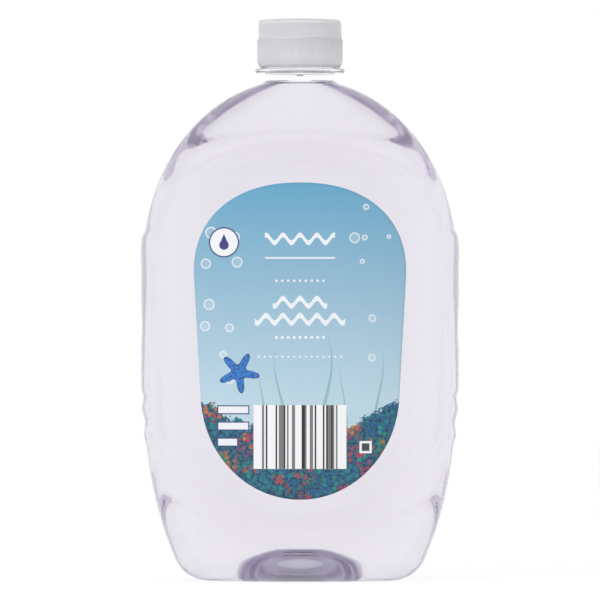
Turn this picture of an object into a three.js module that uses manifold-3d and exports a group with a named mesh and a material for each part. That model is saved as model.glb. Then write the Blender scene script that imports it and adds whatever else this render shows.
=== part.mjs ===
// Hand soap refill pack: a clear blown bottle full of soap, with a film label on its front,
// a screw cap and the sealing disc inside the cap.
// Millimetres, +Z up, front towards -Y, origin on the ground under the middle of the bottle.

import * as THREE from 'three';
import { mergeVertices } from 'three/addons/utils/BufferGeometryUtils.js';
import Module from 'manifold-3d';

const wasm = await Module();
wasm.setup();

// Bottle body
const bodyWidth = 139.8; // across the sides, without the raised grips
const bodyDepth = 69.6;
const bodySquareness = 2.5; // exponent of the oval sections: 2 is an ellipse
const wallThickness = 0.7;
const waistHeight = 95; // below this height the body narrows to its base
const shoulderHeight = 143.5; // above this height the sides round in to the neck
const faceTopHeight = 160; // above this height the faces lean in to the neck
const neckHeight = 222;
const baseNarrowing = 18.6;
const baseThinning = 4.5;
const narrowingPower = 2.6;
const faceLeanPower = 2.2;

// Base
const baseCornerRadius = 9;
const restingRingWidth = 4;
const pushUpHeight = 16;
const pushUpPower = 2.2;
const baseThickness = 1.1;

// Label, and the panels of the front and back that are laid out round its outline
const labelWidth = 94;
const labelLowerWidth = 88;
const labelBottomHeight = 36.8;
const labelLowerArc = 47.2; // height of the half ellipse at its lower end
const labelSideHeight = 53; // height of the nearly straight sides
const labelUpperArc = 39.9;
const labelUpperPower = 2.25;
const labelThickness = 0.25;
const panelRecess = 1.2;
const panelEdgeReach = 1.13; // where the flat of the panel ends, as a share of the label
const panelSlopeReach = 1.3;
const faceBorderReach = 1.4; // where the raised face ends, as a share of the label
const faceBorderSlope = 0.06;
const faceRaise = 0.6;

// Grips on the two sides
const gripWidth = 30;
const gripRaise = 1.1;
const gripEdgeSlope = 3;
const gripBottomHeight = 62;
const gripTopHeight = 155;
const gripStepHeight = 143;
const gripStepRaise = 1.3;
const gripBlend = 4; // height over which one band of the grip runs into the next
const rippleTopHeight = 83.5;
const rippleSpacing = 13.3;
const rippleRaise = 0.5;
const dimpleHeight = 113;
const dimpleLength = 22;
const dimpleWidth = 15;
const dimpleDepth = 1.4;
const dimpleFloorShare = 0.45; // how much of the dimple is its flat floor

// Neck finish
const neckRadius = 15.5;
const neckWall = 1.5;
const neckLength = 4.3; // from the shoulder to the support ring
const supportRingRadius = 19.95;
const supportRingThickness = 1.8;
const supportRingEdge = 0.5;
const finishHeight = 18.7; // from the support ring to the mouth
const rimRound = 0.5;
const lugWidth = 2.4;
const lugDepth = 1.2;
const lugHeight = 1.4;

// Screw thread, the same pitch on neck and cap
const threadPitch = 25.4 / 6;
const threadTurns = 1.5;
const threadDepth = 1.25;
const threadRootWidth = 2;
const threadCrestWidth = 1;
const threadTopDrop = 2.2; // from the mouth to the middle of the thread's upper end
const threadStepsPerTurn = 30;
const threadFade = 0.1; // share of the thread's length over which each end fades out
const threadEndStand = 0.1; // what is left of the thread's depth at its ends, as a share

// Cap and sealing disc
const capWall = 1.4;
const capTopThickness = 1.6;
const capTopRadius = 18.45;
const capEdgeRound = 1.5;
const capLift = 0.6; // between the support ring and the cap
const capBottomRadius = 17.95;
const capChamferHeight = 2.2;
const bandHeight = 10.4;
const ribCount = 104;
const ribDepth = 0.2;
const bandStand = 0.45; // how far the ribbed band stands proud of the skirt
const linerThickness = 1;
const linerClearance = 0.35;

// Liquid and fits
const fillHeight = 220.6;
const fitGap = 0.3;
const threadClearance = 0.45;
const crestClearance = 0.35; // between the cap's thread and the plain wall of the neck
const cutOver = 1; // how far a cutting shape runs past what it cuts

// Places of the facets: round a section from a side to the middle of a face, under the base from
// the middle out, and the number of steps in each curve
const sideStations = [0, 0.18, 0.355, 0.434, 0.56];
const faceStations = [0.84, 0.76, 0.67, 0.53, 0.37, 0.19];
const pushUpStations = [0.25, 0.6, 0.86, 1];
const cornerSteps = 3;
const shoulderSteps = 10;
const labelColumns = 16;
const labelEdgeSteps = 24;
const bandHoleSteps = 22;
const roundSegments = 44;

const ringBottom = neckHeight + neckLength;
const ringTop = ringBottom + supportRingThickness;
const mouthHeight = ringTop + finishHeight;
const neckThreadBottom = mouthHeight - threadTopDrop - threadTurns * threadPitch;
const boreRadius = neckRadius - neckWall;
const boreFoot = neckHeight - neckWall / 2;
const capBore = neckRadius + threadDepth + threadClearance;
const capBottom = ringTop + capLift;
const linerBottom = mouthHeight + fitGap;
const capCeiling = linerBottom + linerThickness + fitGap;
const capHeight = capCeiling + capTopThickness - capBottom;

const labelLowerMiddle = labelBottomHeight + labelLowerArc;
const labelUpperMiddle = labelLowerMiddle + labelSideHeight;

function smooth(from, to, value) {
  const share = Math.min(Math.max((value - from) / (to - from), 0), 1);
  return share * share * (3 - 2 * share);
}

function signedPower(value, power) {
  return Math.sign(value) * Math.abs(value) ** power;
}

// Half width of the plain body at a height
function halfWidthAt(height) {
  const widest = bodyWidth / 2;
  if (height > shoulderHeight) {
    const arcRise = (neckHeight - shoulderHeight) / Math.sqrt(1 - (neckRadius / widest) ** 2);
    return widest * Math.sqrt(1 - ((height - shoulderHeight) / arcRise) ** 2);
  }
  const drop = Math.max(waistHeight - height, 0) / waistHeight;
  return widest - baseNarrowing * drop ** narrowingPower;
}

// Half depth of the plain body at a height
function halfDepthAt(height) {
  const deepest = bodyDepth / 2;
  if (height > faceTopHeight) {
    const lean = (height - faceTopHeight) / (neckHeight - faceTopHeight);
    return deepest - (deepest - neckRadius) * lean ** faceLeanPower;
  }
  const drop = Math.max(waistHeight - height, 0) / waistHeight;
  return deepest - baseThinning * drop ** narrowingPower;
}

// The sections turn from ovals with full corners to a circle at the neck
function squarenessAt(height) {
  const rise = Math.max(height - shoulderHeight, 0) / (neckHeight - shoulderHeight);
  return bodySquareness - (bodySquareness - 2) * rise ** 2;
}

// How far a point of a face lies from the label's middle, where 1 is the label's outline
function labelReach(x, height) {
  if (height > labelUpperMiddle) {
    const across = Math.abs(x) / (labelWidth / 2);
    const up = (height - labelUpperMiddle) / labelUpperArc;
    return (across ** labelUpperPower + up ** labelUpperPower) ** (1 / labelUpperPower);
  }
  if (height > labelLowerMiddle) {
    const share = (height - labelLowerMiddle) / labelSideHeight;
    return Math.abs(x) / THREE.MathUtils.lerp(labelLowerWidth / 2, labelWidth / 2, share);
  }
  return Math.hypot(x / (labelLowerWidth / 2), (labelLowerMiddle - height) / labelLowerArc);
}

// Distance of the sunk label panel from the middle plane. It bends one way only, so a film lies flat.
function panelDepthAt(x) {
  const across = Math.abs(x) / (bodyWidth / 2);
  return (bodyDepth / 2) * (1 - across ** bodySquareness) ** (1 / bodySquareness) + faceRaise - panelRecess;
}

// How far the grip stands out from the side: a raised pad with a step near its top, a dimple in
// its middle and two ripples below
function gripStand(y, height) {
  const passed = (level, blend) => smooth(level - blend / 2, level + blend / 2, height);
  const across = 1 - smooth(gripWidth / 2 - gripEdgeSlope / 2, gripWidth / 2 + gripEdgeSlope / 2, Math.abs(y));
  const ripple = rippleRaise * (1 - Math.cos((2 * Math.PI * (height - rippleTopHeight)) / rippleSpacing));
  const pad = THREE.MathUtils.lerp(ripple, gripRaise, passed(rippleTopHeight, gripBlend));
  const stepped = THREE.MathUtils.lerp(pad, gripStepRaise, passed(gripStepHeight, gripBlend));
  const ends = passed(gripBottomHeight, 2 * gripBlend) * (1 - passed(gripTopHeight, gripBlend));
  const fromDimple = Math.hypot(y / (dimpleWidth / 2), (height - dimpleHeight) / (dimpleLength / 2));
  const dimple = dimpleDepth * (1 - smooth(dimpleFloorShare, 1, fromDimple));
  return across * ends * stepped - dimple;
}

// A point of the body's outer surface, by its place round the section and its height
function bodyPoint(angle, height) {
  const squareness = squarenessAt(height);
  const cornerDrop = Math.max(baseCornerRadius - height, 0);
  const inset = baseCornerRadius - Math.sqrt(baseCornerRadius ** 2 - cornerDrop ** 2);
  const halfWidth = halfWidthAt(height) - inset;
  const halfDepth = halfDepthAt(height) - inset;
  const acrossShare = signedPower(Math.cos(angle), 2 / squareness);
  const depthShare = signedPower(Math.sin(angle), 2 / squareness);
  const x = halfWidth * acrossShare;
  const y = halfDepth * depthShare;

  const normal = new THREE.Vector2(
    signedPower(acrossShare, squareness - 1) / halfWidth,
    signedPower(depthShare, squareness - 1) / halfDepth,
  ).normalize();
  const reach = labelReach(x, height);
  const raise = faceRaise * (1 - smooth(faceBorderReach, faceBorderReach + faceBorderSlope, reach));
  const sunk = 1 - smooth(panelEdgeReach, panelSlopeReach, reach);
  const faceY = y + normal.y * raise;
  const panelY = sunk > 0 ? Math.sign(y) * panelDepthAt(x) : 0;
  const grip = Math.abs(normal.x) * gripStand(y, height);
  return new THREE.Vector3(
    x + normal.x * raise + Math.sign(x) * grip,
    THREE.MathUtils.lerp(faceY, panelY, sunk),
    height,
  );
}

// Places round a section: closer together on the grips than on the faces
function sectionAngles() {
  const toAngle = bodySquareness / 2;
  const quarter = [
    ...sideStations.map((share) => Math.asin(share ** toAngle)),
    ...faceStations.map((share) => Math.acos(share ** toAngle)),
  ];
  const mirrored = quarter.slice(1).reverse().map((angle) => Math.PI - angle);
  const half = [...quarter, Math.PI / 2, ...mirrored];
  return [...half, ...half.map((angle) => angle + Math.PI)];
}

const angles = sectionAngles();

function circleRing(radius, height) {
  return angles.map((angle) => new THREE.Vector3(radius * Math.cos(angle), radius * Math.sin(angle), height));
}

// Heights of the body's sections, closer together where the surface turns
function bodyHeights() {
  const heights = [];
  for (let step = 0; step <= cornerSteps; step += 1) {
    heights.push(baseCornerRadius * (1 - Math.cos((step / cornerSteps) * (Math.PI / 2))));
  }
  const stretches = [
    { to: gripBottomHeight - gripBlend, steps: 5 },
    { to: rippleTopHeight, steps: 6 },
    { to: dimpleHeight - dimpleLength / 2, steps: 2 },
    { to: dimpleHeight + dimpleLength / 2, steps: 4 },
    { to: gripStepHeight, steps: 2 },
    { to: gripTopHeight, steps: 2 },
  ];
  for (const { to, steps } of stretches) {
    const from = heights.at(-1);
    for (let step = 1; step <= steps; step += 1) {
      heights.push(from + ((to - from) * step) / steps);
    }
  }
  const rise = neckHeight - gripTopHeight;
  for (let step = 1; step < shoulderSteps; step += 1) {
    heights.push(gripTopHeight + rise * Math.sin((step / shoulderSteps) * (Math.PI / 2)));
  }
  return heights;
}

// The underside of the base, from its middle out: a push-up, then the inner edge of the resting ring
function baseRings() {
  const edge = angles.map((angle) => bodyPoint(angle, 0));
  return pushUpStations.map((share) =>
    edge.map((point) => {
      const rested = new THREE.Vector2(point.x, point.y);
      rested.setLength(rested.length() - restingRingWidth);
      const rise = pushUpHeight * (1 - share ** pushUpPower);
      return new THREE.Vector3(rested.x * share, rested.y * share, rise);
    }),
  );
}

// A closed geometry through rings of points, each end closed by a fan round the ring's middle
function loft(rings) {
  const count = rings[0].length;
  const positions = rings.flat().flatMap((point) => [point.x, point.y, point.z]);
  const index = [];
  for (let row = 0; row < rings.length - 1; row += 1) {
    for (let place = 0; place < count; place += 1) {
      const next = (place + 1) % count;
      const a = row * count + place;
      const b = row * count + next;
      index.push(a, b, b + count, a, b + count, a + count);
    }
  }
  const closeEnd = (row, forward) => {
    const middle = new THREE.Vector3();
    rings[row].forEach((point) => middle.addScaledVector(point, 1 / count));
    const apex = positions.length / 3;
    positions.push(middle.x, middle.y, middle.z);
    for (let place = 0; place < count; place += 1) {
      const a = row * count + place;
      const b = row * count + ((place + 1) % count);
      index.push(apex, forward ? a : b, forward ? b : a);
    }
  };
  closeEnd(0, false);
  closeEnd(rings.length - 1, true);
  const geometry = new THREE.BufferGeometry();
  geometry.setAttribute('position', new THREE.Float32BufferAttribute(positions, 3));
  geometry.setIndex(index);
  return geometry;
}

// The same rings moved inwards, square to the surface, by a thickness for each ring
function insetRings(rings, thicknesses) {
  const geometry = loft(rings);
  geometry.computeVertexNormals();
  const normals = geometry.getAttribute('normal');
  const count = rings[0].length;
  return rings.map((ring, row) =>
    ring.map((point, place) => {
      const normal = new THREE.Vector3().fromBufferAttribute(normals, row * count + place);
      return point.clone().addScaledVector(normal, -thicknesses[row]);
    }),
  );
}

function toSolid(geometry) {
  const bare = geometry.clone();
  bare.deleteAttribute('normal');
  bare.deleteAttribute('uv');
  const merged = mergeVertices(bare, 1e-4);
  return new wasm.Manifold(
    new wasm.Mesh({
      numProp: 3,
      vertProperties: new Float32Array(merged.getAttribute('position').array),
      triVerts: new Uint32Array(merged.getIndex().array),
    }),
  );
}

function toGeometry(solid) {
  const mesh = solid.getMesh();
  const geometry = new THREE.BufferGeometry();
  geometry.setAttribute('position', new THREE.Float32BufferAttribute(mesh.vertProperties, 3));
  geometry.setIndex(new THREE.Uint32BufferAttribute(mesh.triVerts, 1));
  geometry.computeVertexNormals();
  return geometry;
}

// One start of a right-hand thread on a wall of the given radius, its crest outside or inside it.
// Both ends fade into the wall.
function threadRidge(wallRadius, crestRadius, bottomHeight) {
  const outward = crestRadius > wallRadius;
  const rootRadius = wallRadius + (outward ? -fitGap : fitGap);
  const steps = Math.round(threadTurns * threadStepsPerTurn);
  const rings = [];
  for (let step = 0; step <= steps; step += 1) {
    const along = step / steps;
    const angle = along * threadTurns * 2 * Math.PI;
    const middle = bottomHeight + along * threadTurns * threadPitch;
    const fade = smooth(0, threadFade, along) * smooth(0, threadFade, 1 - along);
    const stand = THREE.MathUtils.lerp(threadEndStand, 1, fade);
    const crest = THREE.MathUtils.lerp(rootRadius, crestRadius, stand);
    const place = (radius, height) =>
      new THREE.Vector3(radius * Math.cos(angle), radius * Math.sin(angle), height);
    const ring = [
      place(rootRadius, middle + threadRootWidth / 2),
      place(crest, middle + threadCrestWidth / 2),
      place(crest, middle - threadCrestWidth / 2),
      place(rootRadius, middle - threadRootWidth / 2),
    ];
    rings.push(outward ? ring : ring.reverse());
  }
  return toSolid(loft(rings));
}

function addMesh(parent, name, geometry, look) {
  const mesh = new THREE.Mesh(geometry, new THREE.MeshStandardMaterial(look));
  mesh.name = name;
  parent.add(mesh);
  return mesh;
}

const outerHeights = bodyHeights();
const bodyRings = [
  ...baseRings(),
  ...outerHeights.map((height) => angles.map((angle) => bodyPoint(angle, height))),
];
const wallThicknesses = bodyRings.map((ring) =>
  THREE.MathUtils.lerp(baseThickness, wallThickness, smooth(0, 2 * baseCornerRadius, ring[0].z)),
);

function buildBottle() {
  const neckRings = [
    circleRing(neckRadius, neckHeight),
    circleRing(neckRadius, ringBottom),
    circleRing(supportRingRadius - supportRingEdge, ringBottom),
    circleRing(supportRingRadius, ringBottom + supportRingEdge),
    circleRing(supportRingRadius, ringTop - supportRingEdge),
    circleRing(supportRingRadius - supportRingEdge, ringTop),
    circleRing(neckRadius, ringTop),
    circleRing(neckRadius, mouthHeight - rimRound),
    circleRing(neckRadius - rimRound, mouthHeight),
  ];
  const boreRings = [
    circleRing(boreRadius, boreFoot),
    circleRing(boreRadius, mouthHeight - rimRound),
    circleRing(boreRadius + rimRound, mouthHeight),
    circleRing(boreRadius + rimRound, mouthHeight + cutOver),
  ];
  const outside = toSolid(loft([...bodyRings, ...neckRings]));
  const cavity = toSolid(loft([...insetRings(bodyRings, wallThicknesses), ...boreRings]));
  const shell = outside.subtract(cavity);

  const thread = threadRidge(neckRadius, neckRadius + threadDepth, neckThreadBottom);

  const lugShape = new THREE.BoxGeometry(lugWidth, lugDepth + fitGap, lugHeight + fitGap);
  lugShape.translate(0, -(neckRadius + (lugDepth - fitGap) / 2), ringBottom - (lugHeight - fitGap) / 2);
  return toGeometry(shell.add(thread).add(toSolid(lugShape)));
}

function buildSoap() {
  const liquidDepths = wallThicknesses.map((thickness) => thickness + fitGap);
  const rings = [
    ...insetRings(bodyRings, liquidDepths),
    circleRing(boreRadius - fitGap, boreFoot - fitGap),
  ];
  const airDepth = neckHeight - fillHeight + neckLength;
  const air = new THREE.BoxGeometry(bodyWidth, bodyDepth, airDepth);
  air.translate(0, 0, fillHeight + airDepth / 2);
  return toGeometry(toSolid(loft(rings)).subtract(toSolid(air)));
}

// The label's outline, drawn across and up
function labelShape() {
  const outline = new THREE.Shape();
  outline.absellipse(0, labelLowerMiddle, labelLowerWidth / 2, labelLowerArc, Math.PI, 2 * Math.PI, false);
  for (let step = 0; step <= labelEdgeSteps; step += 1) {
    const angle = (step / labelEdgeSteps) * Math.PI;
    outline.lineTo(
      (labelWidth / 2) * signedPower(Math.cos(angle), 2 / labelUpperPower),
      labelUpperMiddle + labelUpperArc * Math.sin(angle) ** (2 / labelUpperPower),
    );
  }
  return outline;
}

// The label is a sheet bent to the panel, cut to its outline
function buildLabel() {
  const sheet = new THREE.Shape();
  const halfSheet = labelWidth / 2 + cutOver;
  const inner = [];
  const outer = [];
  for (let column = 0; column <= labelColumns; column += 1) {
    const x = halfSheet * (1 - (2 * column) / labelColumns);
    const depth = panelDepthAt(x) + fitGap;
    inner.push(new THREE.Vector2(x, -depth));
    outer.push(new THREE.Vector2(x, -depth - labelThickness));
  }
  sheet.setFromPoints([...inner, ...outer.reverse()]);
  const labelHeight = labelLowerArc + labelSideHeight + labelUpperArc;
  const bent = new THREE.ExtrudeGeometry(sheet, { depth: labelHeight + 2 * cutOver, bevelEnabled: false });
  bent.translate(0, 0, labelBottomHeight - cutOver);
  const cutter = new THREE.ExtrudeGeometry(labelShape(), {
    depth: bodyDepth,
    bevelEnabled: false,
    curveSegments: labelColumns,
  });
  cutter.rotateX(Math.PI / 2);
  return toGeometry(toSolid(bent).intersect(toSolid(cutter)));
}

// A solid of revolution about the neck's axis, from a closed outline of radius and height
function revolve(outline) {
  const profile = outline.map(([radius, height]) => new THREE.Vector2(radius, height));
  const turned = new THREE.LatheGeometry([...profile, profile[0].clone()], roundSegments);
  return turned.rotateX(Math.PI / 2);
}

// The cap stands on its open end, at height 0
function buildCap() {
  const skirtRadius = capBore + capWall;
  const bandTop = capChamferHeight + bandHeight;
  const roundMiddle = capEdgeRound * (1 - Math.SQRT1_2);
  const body = revolve([
    [0, capHeight],
    [0, capHeight - capTopThickness],
    [capBore, capHeight - capTopThickness],
    [capBore, 0],
    [capBottomRadius, 0],
    [skirtRadius, capChamferHeight],
    [skirtRadius, bandTop],
    [capTopRadius, capHeight - capEdgeRound],
    [capTopRadius - roundMiddle, capHeight - roundMiddle],
    [capTopRadius - capEdgeRound, capHeight],
  ]);

  const bandRadius = skirtRadius + bandStand;
  const ribs = new THREE.Shape();
  for (let place = 0; place < 2 * ribCount; place += 1) {
    const angle = (place / (2 * ribCount)) * 2 * Math.PI;
    const radius = place % 2 === 0 ? bandRadius : bandRadius - ribDepth;
    const move = place === 0 ? 'moveTo' : 'lineTo';
    ribs[move](radius * Math.cos(angle), radius * Math.sin(angle));
  }
  const hole = new THREE.Path();
  hole.absarc(0, 0, skirtRadius - capWall / 2, 0, 2 * Math.PI, true);
  ribs.holes.push(hole);
  const band = new THREE.ExtrudeGeometry(ribs, {
    depth: bandHeight,
    bevelEnabled: false,
    curveSegments: bandHoleSteps,
  });
  band.translate(0, 0, capChamferHeight);

  const seatDrop = (threadRootWidth + threadCrestWidth) / 2 + fitGap;
  const threadBottom = neckThreadBottom - seatDrop - capBottom;
  const thread = threadRidge(capBore, neckRadius + crestClearance, threadBottom);
  return toGeometry(toSolid(body).add(toSolid(band)).add(thread));
}

function buildLiner() {
  const radius = capBore - linerClearance;
  return toGeometry(toSolid(new THREE.CylinderGeometry(radius, radius, linerThickness, roundSegments)));
}

const refillPack = new THREE.Group();

addMesh(refillPack, 'bottle', buildBottle(), {
  color: 0xf4f3f8,
  roughness: 0.06,
  metalness: 0,
  transparent: true,
  opacity: 0.35,
});
addMesh(refillPack, 'hand_soap', buildSoap(), {
  color: 0xece8f2,
  roughness: 0.05,
  metalness: 0,
  transparent: true,
  opacity: 0.5,
});
addMesh(refillPack, 'front_label', buildLabel(), { color: 0x9cc1d4, roughness: 0.45, metalness: 0 });

const closure = new THREE.Group();
closure.position.z = capBottom;
refillPack.add(closure);
addMesh(closure, 'screw_cap', buildCap(), { color: 0xe6e6ea, roughness: 0.4, metalness: 0 });
const liner = addMesh(closure, 'cap_liner', buildLiner(), { color: 0xf2f1ee, roughness: 0.7, metalness: 0 });
liner.rotation.x = Math.PI / 2;
liner.position.z = linerBottom + linerThickness / 2 - capBottom;

export default refillPack;
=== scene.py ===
# Looks for the hand soap refill pack. Sizes in millimetres are turned into metres with mm.
import math

import bpy
import numpy as np
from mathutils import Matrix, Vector


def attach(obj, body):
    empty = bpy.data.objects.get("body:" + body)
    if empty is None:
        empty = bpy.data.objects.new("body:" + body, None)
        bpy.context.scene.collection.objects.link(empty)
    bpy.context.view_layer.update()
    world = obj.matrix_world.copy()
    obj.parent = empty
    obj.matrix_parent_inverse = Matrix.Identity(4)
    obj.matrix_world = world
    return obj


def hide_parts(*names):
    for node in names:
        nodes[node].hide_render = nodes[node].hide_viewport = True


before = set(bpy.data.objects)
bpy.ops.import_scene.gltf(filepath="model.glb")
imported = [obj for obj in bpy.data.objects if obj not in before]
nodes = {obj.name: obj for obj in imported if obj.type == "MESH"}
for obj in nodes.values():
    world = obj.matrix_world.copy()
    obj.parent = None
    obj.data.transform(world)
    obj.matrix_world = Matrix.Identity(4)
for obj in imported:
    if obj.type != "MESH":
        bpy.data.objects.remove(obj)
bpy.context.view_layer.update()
mm = 0.001

# The bottle's body, in the same sizes as the solids
bottleShape = {
    "width": 139.8,
    "depth": 69.6,
    "squareness": 2.5,  # 2 makes the sections ellipses
    "wall": 0.7,
    "baseWall": 1.1,
    "waistHeight": 95,
    "shoulderHeight": 143.5,
    "faceTopHeight": 160,
    "neckHeight": 222,
    "baseNarrowing": 18.6,
    "baseThinning": 4.5,
    "narrowingPower": 2.6,
    "faceLeanPower": 2.2,
    "cornerRadius": 9,
    "restingRing": 4,
    "pushUp": 16,
    "pushUpPower": 2.2,
    "baseWallFade": 18,  # above this height the wall has its upper thickness
    "columns": 220,
    "wallRows": 150,
    "cornerRows": 10,
    "baseRows": 16,
}

# The label's outline, and the sunk panel and raised face laid out round it
panelShape = {
    "width": 94,
    "lowerWidth": 88,
    "bottomHeight": 36.8,
    "lowerArc": 47.2,
    "sideHeight": 53,
    "upperArc": 39.9,
    "upperPower": 2.25,
    "recess": 1.2,
    "flatReach": 1.13,
    "slopeReach": 1.3,
    "borderReach": 1.4,
    "borderSlope": 0.06,
    "raise": 0.6,
}

gripShape = {
    "width": 30,
    "raise": 1.1,
    "edgeSlope": 3,
    "bottomHeight": 62,
    "topHeight": 155,
    "stepHeight": 143,
    "stepRaise": 1.3,
    "blend": 4,  # height over which one band of the grip runs into the next
    "rippleTopHeight": 83.5,
    "rippleSpacing": 13.3,
    "rippleRaise": 0.5,
    "dimpleHeight": 113,
    "dimpleLength": 22,
    "dimpleWidth": 15,
    "dimpleDepth": 1.4,
    "dimpleFloorShare": 0.45,
}

neckShape = {
    "radius": 15.5,
    "wall": 1.5,
    "length": 4.3,
    "ringRadius": 19.95,
    "ringThickness": 1.8,
    "lugWidth": 2.4,
    "lugDepth": 1.2,
    "lugHeight": 1.4,
    "lugRound": 0.3,
    "edgeRound": 0.6,
    "ringRootRound": 0.5,
    "threadRootRound": 0.4,
    "pointSpacing": 0.34,
    "finishHeight": 18.7,
    "threadPitch": 25.4 / 6,
    "threadTurns": 1.5,
    "threadDepth": 1.25,
    "threadRoot": 2.0,
    "threadCrest": 1.0,
    "threadDrop": 2.2,
    "threadFade": 0.1,
}

lowerMiddle = panelShape["bottomHeight"] + panelShape["lowerArc"]
upperMiddle = lowerMiddle + panelShape["sideHeight"]
ringBottom = bottleShape["neckHeight"] + neckShape["length"]
ringTop = ringBottom + neckShape["ringThickness"]
mouthHeight = ringTop + neckShape["finishHeight"]
boreRadius = neckShape["radius"] - neckShape["wall"]
threadRise = neckShape["threadTurns"] * neckShape["threadPitch"]
neckThreadBottom = mouthHeight - neckShape["threadDrop"] - threadRise


def smooth(low, high, value):
    share = np.clip((value - low) / (high - low), 0, 1)
    return share * share * (3 - 2 * share)


def mix(first, second, share):
    return first + (second - first) * share


def signedPower(value, power):
    return np.sign(value) * np.abs(value) ** power


def halfWidthAt(height):
    shape = bottleShape
    widest = shape["width"] / 2
    neckShare = neckShape["radius"] / widest
    arcRise = (shape["neckHeight"] - shape["shoulderHeight"]) / math.sqrt(1 - neckShare**2)
    rise = np.clip(height - shape["shoulderHeight"], 0, None) / arcRise
    drop = np.clip(shape["waistHeight"] - height, 0, None) / shape["waistHeight"]
    rounded = widest * np.sqrt(np.clip(1 - rise**2, 0, None))
    return rounded - shape["baseNarrowing"] * drop ** shape["narrowingPower"]


def halfDepthAt(height):
    shape = bottleShape
    deepest = shape["depth"] / 2
    leanLength = shape["neckHeight"] - shape["faceTopHeight"]
    lean = np.clip(height - shape["faceTopHeight"], 0, None) / leanLength
    drop = np.clip(shape["waistHeight"] - height, 0, None) / shape["waistHeight"]
    leaned = deepest - (deepest - neckShape["radius"]) * lean ** shape["faceLeanPower"]
    return leaned - shape["baseThinning"] * drop ** shape["narrowingPower"]


def squarenessAt(height):
    shape = bottleShape
    shoulderLength = shape["neckHeight"] - shape["shoulderHeight"]
    rise = np.clip(height - shape["shoulderHeight"], 0, None) / shoulderLength
    return shape["squareness"] - (shape["squareness"] - 2) * rise**2


def labelReach(x, height):
    # 1 on the label's outline, less inside it and more outside
    shape = panelShape
    across = np.abs(x) / (shape["width"] / 2)
    up = np.clip(height - upperMiddle, 0, None) / shape["upperArc"]
    upper = (across ** shape["upperPower"] + up ** shape["upperPower"]) ** (1 / shape["upperPower"])
    share = np.clip((height - lowerMiddle) / shape["sideHeight"], 0, 1)
    side = np.abs(x) / mix(shape["lowerWidth"] / 2, shape["width"] / 2, share)
    lower = np.hypot(x / (shape["lowerWidth"] / 2), (lowerMiddle - height) / shape["lowerArc"])
    return np.where(height > upperMiddle, upper, np.where(height > lowerMiddle, side, lower))


def panelDepthAt(x):
    across = np.abs(x) / (bottleShape["width"] / 2)
    power = bottleShape["squareness"]
    curve = np.clip(1 - across**power, 0, None) ** (1 / power)
    return bottleShape["depth"] / 2 * curve + panelShape["raise"] - panelShape["recess"]


def gripStand(y, height):
    shape = gripShape
    half = shape["width"] / 2
    slope = shape["edgeSlope"] / 2
    blend = shape["blend"] / 2
    across = 1 - smooth(half - slope, half + slope, np.abs(y))
    wave = np.cos(2 * np.pi * (height - shape["rippleTopHeight"]) / shape["rippleSpacing"])
    ripple = shape["rippleRaise"] * (1 - wave)
    above = smooth(shape["rippleTopHeight"] - blend, shape["rippleTopHeight"] + blend, height)
    pad = mix(ripple, shape["raise"], above)
    stepShare = smooth(shape["stepHeight"] - blend, shape["stepHeight"] + blend, height)
    stepped = mix(pad, shape["stepRaise"], stepShare)
    upperEnd = 1 - smooth(shape["topHeight"] - blend, shape["topHeight"] + blend, height)
    lowerEnd = smooth(shape["bottomHeight"] - 2 * blend, shape["bottomHeight"] + 2 * blend, height)
    up = (height - shape["dimpleHeight"]) / (shape["dimpleLength"] / 2)
    fromDimple = np.hypot(y / (shape["dimpleWidth"] / 2), up)
    dimple = shape["dimpleDepth"] * (1 - smooth(shape["dimpleFloorShare"], 1, fromDimple))
    return across * upperEnd * lowerEnd * stepped - dimple


def bodyPoints(angles, heights):
    # Points of the body's outer surface: a row for each height, a column for each angle
    height = np.asarray(heights, float)[:, None] + 0 * angles[None, :]
    angle = angles[None, :] + 0 * height
    squareness = squarenessAt(height)
    corner = bottleShape["cornerRadius"]
    inset = corner - np.sqrt(corner**2 - np.clip(corner - height, 0, corner) ** 2)
    halfWidth = halfWidthAt(height) - inset
    halfDepth = halfDepthAt(height) - inset
    acrossShare = signedPower(np.cos(angle), 2 / squareness)
    depthShare = signedPower(np.sin(angle), 2 / squareness)
    x = halfWidth * acrossShare
    y = halfDepth * depthShare
    normalX = signedPower(acrossShare, squareness - 1) / halfWidth
    normalY = signedPower(depthShare, squareness - 1) / halfDepth
    length = np.hypot(normalX, normalY)
    normalX = normalX / length
    normalY = normalY / length
    reach = labelReach(x, height)
    border = panelShape["borderReach"]
    lift = panelShape["raise"] * (1 - smooth(border, border + panelShape["borderSlope"], reach))
    sunk = 1 - smooth(panelShape["flatReach"], panelShape["slopeReach"], reach)
    faceY = y + normalY * lift
    grip = np.abs(normalX) * gripStand(y, height)
    return np.stack(
        [
            x + normalX * lift + np.sign(x) * grip,
            mix(faceY, np.sign(y) * panelDepthAt(x), sunk),
            height,
        ],
        axis=-1,
    )


def evenAngles(count):
    # Angles that space the points evenly round the section at mid height
    fine = np.linspace(0, 2 * np.pi, 8001)
    ring = bodyPoints(fine, [bottleShape["shoulderHeight"]])[0]
    steps = np.linalg.norm(np.diff(ring, axis=0), axis=1)
    along = np.concatenate([[0], np.cumsum(steps)])
    return np.interp(np.arange(count) / count * along[-1], along, fine)


def bodyHeights(count, cornerRows):
    # Heights spaced evenly along the outline, after a few rows round the base corner
    corner = bottleShape["cornerRadius"]
    lower = corner * (1 - np.cos(np.linspace(0, math.pi / 2, cornerRows, endpoint=False)))
    fine = np.linspace(corner, bottleShape["neckHeight"], 6001)
    steps = np.hypot(np.diff(fine), np.diff(halfWidthAt(fine)))
    along = np.concatenate([[0], np.cumsum(steps)])
    upper = np.interp(np.linspace(0, along[-1], count), along, fine)[:-1]
    return np.concatenate([lower, upper])


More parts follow.
